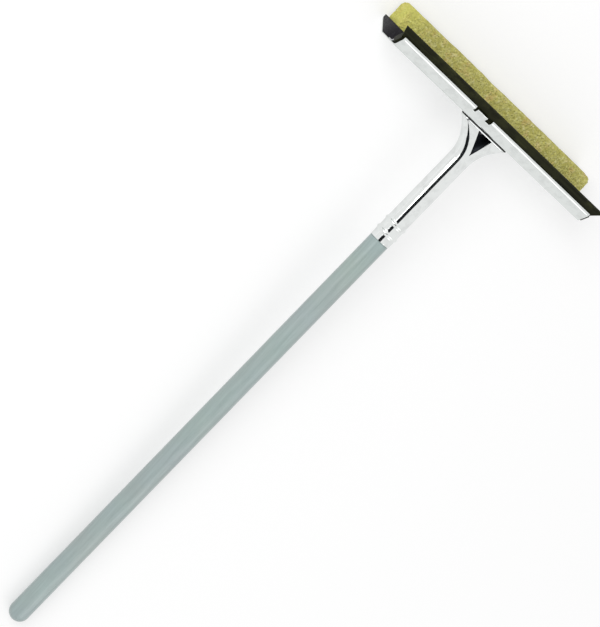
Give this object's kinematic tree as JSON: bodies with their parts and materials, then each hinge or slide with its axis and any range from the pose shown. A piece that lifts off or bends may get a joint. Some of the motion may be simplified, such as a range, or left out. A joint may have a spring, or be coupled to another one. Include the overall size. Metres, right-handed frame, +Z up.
{
  "type": "window scrubber",
  "caption": "Hand window scrubber with a wooden handle in a beaded steel neck, a folded chromed channel, a rubber squeegee blade along its front and a foam sponge along its back.",
  "frame": {"origin": "middle of the tool's outline on the table it lies on, under the channel's back lip and the end of the handle", "axes": "+X along the head, +Y from the handle's end towards the head, +Z up from the table to the blade side"},
  "size_m": [0.254, 0.6178, 0.0637],
  "materials": {
    "lacquered_wood": "satin grey-green lacquer",
    "chrome": "bright plating",
    "black_rubber": "matt",
    "rivet_steel": "dull",
    "strip_steel": "satin",
    "blade_rubber": "smooth matt",
    "sponge_foam": "open-cell foam",
    "plug_plastic": "matt"
  },
  "bodies": {
    "tool": {"handle": "lacquered_wood", "neck": "chrome", "foot_pad": "black_rubber", "foot_rivets": "rivet_steel", "channel": "chrome", "jaw_strip": "strip_steel", "sponge_retainer": "strip_steel", "sponge": "sponge_foam", "left_end_plug": "plug_plastic", "right_end_plug": "plug_plastic"},
    "blade": {"blade": "blade_rubber"}
  },
  "joints": [
    {"name": "blade_slide", "type": "slide", "parent": "tool", "child": "blade", "axis": [1, 0, 0], "range_m": [0, 0.25]}
  ]
}
